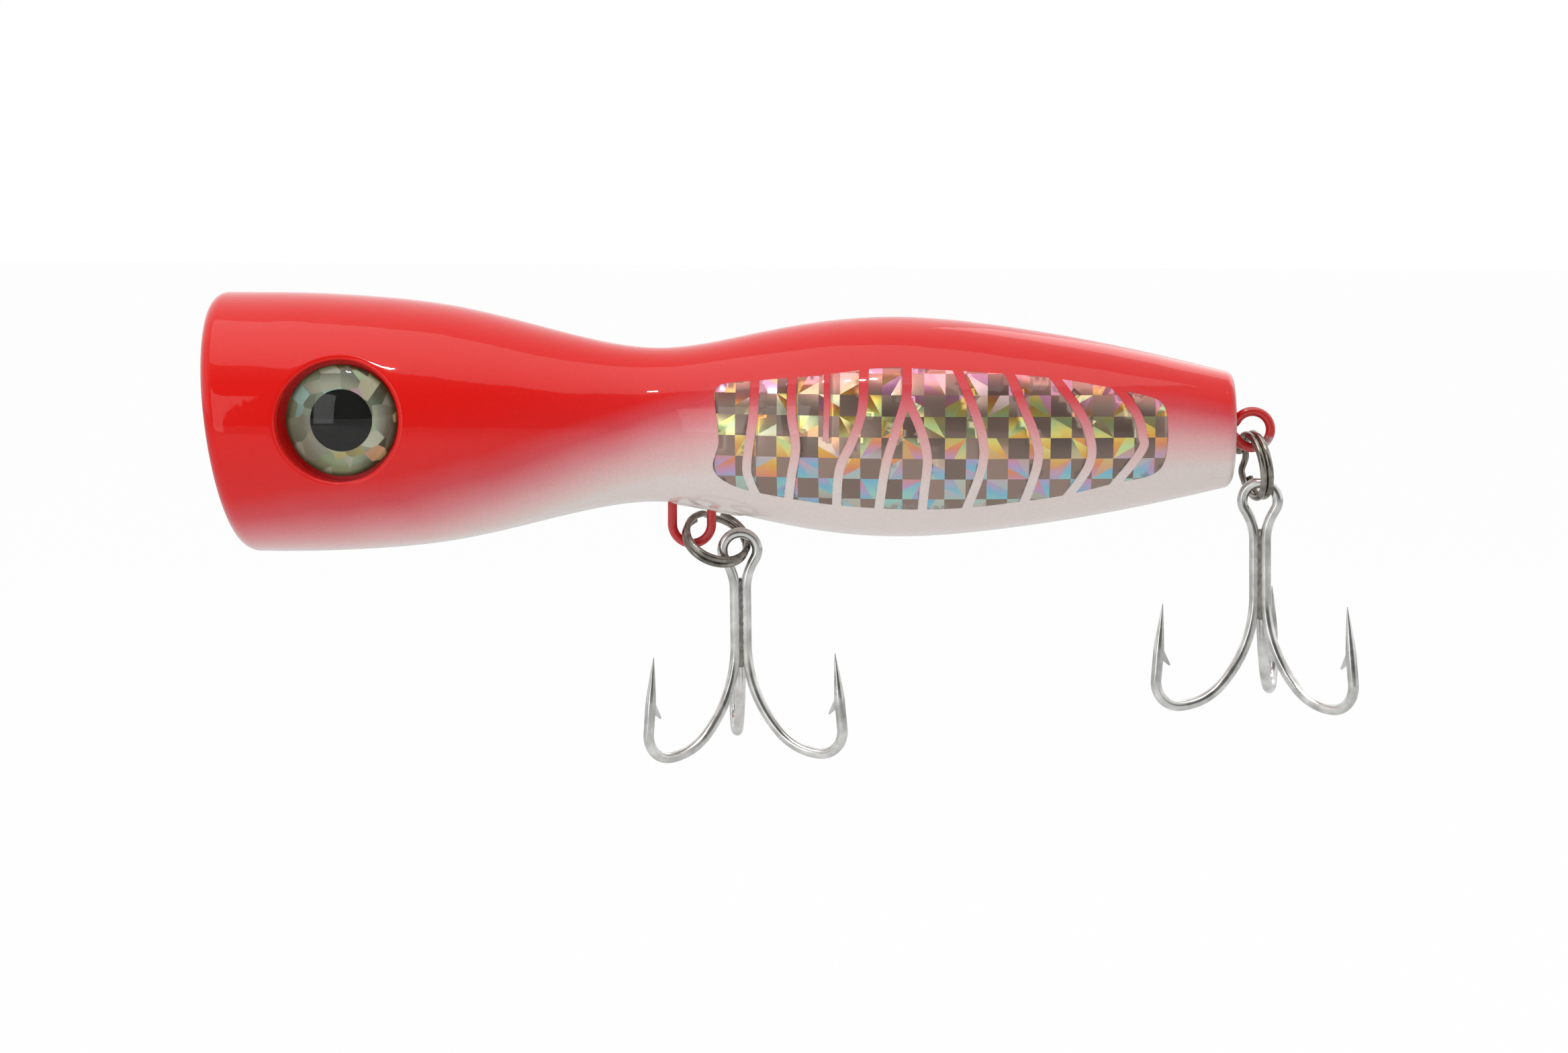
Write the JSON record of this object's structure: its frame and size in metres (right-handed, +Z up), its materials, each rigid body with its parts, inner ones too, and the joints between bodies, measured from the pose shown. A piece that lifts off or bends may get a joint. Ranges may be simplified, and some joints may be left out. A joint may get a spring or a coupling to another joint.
{
  "type": "topwater popper",
  "caption": "Topwater fishing lure with a cupped mouth, a waisted turned body, glued-in eyes, flank foil, and treble hooks swinging on split rings.",
  "frame": {"origin": "centre of the tow eye, on the axis of the body", "axes": "+X aft along the body's axis, from mouth to tail; +Z up, away from the belly hook; the lure's left side is at -Y"},
  "size_m": [0.1563, 0.0358, 0.0639],
  "materials": {
    "body_paint": "turned wood, sprayed red over pearl white, clear gloss coat",
    "slot_fill": "filler sanded flush and painted over",
    "clear_epoxy": "clear epoxy, run smooth",
    "wire_paint": "stainless wire under overspray of red paint",
    "lead": "cast lead, dull",
    "plug_paint": "plug turned flush and painted over",
    "eye_foam": "adhesive foam pad",
    "eye_foil": "silver holographic foil",
    "eye_ink": "black print",
    "eye_resin": "clear cast resin dome",
    "prism_foil": "prismatic film under the clear coat",
    "ring_steel": "black nickel on spring steel",
    "hook_tin": "bright tin on forged steel wire",
    "braze_tin": "dull tin over braze"
  },
  "bodies": {
    "lure": {"belly_ballast": "lead", "belly_ballast_plug": "plug_paint", "body_blank": "body_paint", "eye_dome_left": "eye_resin", "eye_dome_right": "eye_resin", "eye_iris_left": "eye_foil", "eye_iris_right": "eye_foil", "eye_pad_left": "eye_foam", "eye_pad_right": "eye_foam", "eye_pupil_left": "eye_ink", "eye_pupil_right": "eye_ink", "foil_left_01": "prism_foil", "foil_left_02": "prism_foil", "foil_left_03": "prism_foil", "foil_left_04": "prism_foil", "foil_left_05": "prism_foil", "foil_left_06": "prism_foil", "foil_left_07": "prism_foil", "foil_left_08": "prism_foil", "foil_left_09": "prism_foil", "foil_left_10": "prism_foil", "foil_right_01": "prism_foil", "foil_right_02": "prism_foil", "foil_right_03": "prism_foil", "foil_right_04": "prism_foil", "foil_right_05": "prism_foil", "foil_right_06": "prism_foil", "foil_right_07": "prism_foil", "foil_right_08": "prism_foil", "foil_right_09": "prism_foil", "foil_right_10": "prism_foil", "hanger_seal": "clear_epoxy", "slot_filler": "slot_fill", "tail_ballast": "lead", "tail_ballast_plug": "plug_paint", "through_wire": "wire_paint"},
    "belly_ring": {"belly_split_ring": "ring_steel"},
    "belly_treble": {"belly_treble_double": "hook_tin", "belly_treble_single": "hook_tin", "belly_treble_braze": "braze_tin"},
    "tail_ring": {"tail_split_ring": "ring_steel"},
    "tail_treble": {"tail_treble_double": "hook_tin", "tail_treble_single": "hook_tin", "tail_treble_braze": "braze_tin"}
  },
  "joints": [
    {"name": "belly_ring_swing", "type": "hinge", "parent": "lure", "child": "belly_ring", "pos_m": [0.05894, 0, -0.0139], "axis": [1, 0, 0], "range_deg": [-70, 4]},
    {"name": "belly_treble_swing", "type": "hinge", "parent": "belly_ring", "child": "belly_treble", "pos_m": [0.06614, 0, -0.01718], "axis": [-0.131, 0.9908, 0.0328], "range_deg": [-25, 35]},
    {"name": "tail_ring_swing", "type": "hinge", "parent": "lure", "child": "tail_ring", "pos_m": [0.13612, 0, 0], "axis": [0, -1, 0], "range_deg": [-4, 150]},
    {"name": "tail_treble_swing", "type": "hinge", "parent": "tail_ring", "child": "tail_treble", "pos_m": [0.13655, 0, -0.00492], "axis": [0.9518, 0.2588, 0.1644], "range_deg": [-65, 40]}
  ]
}
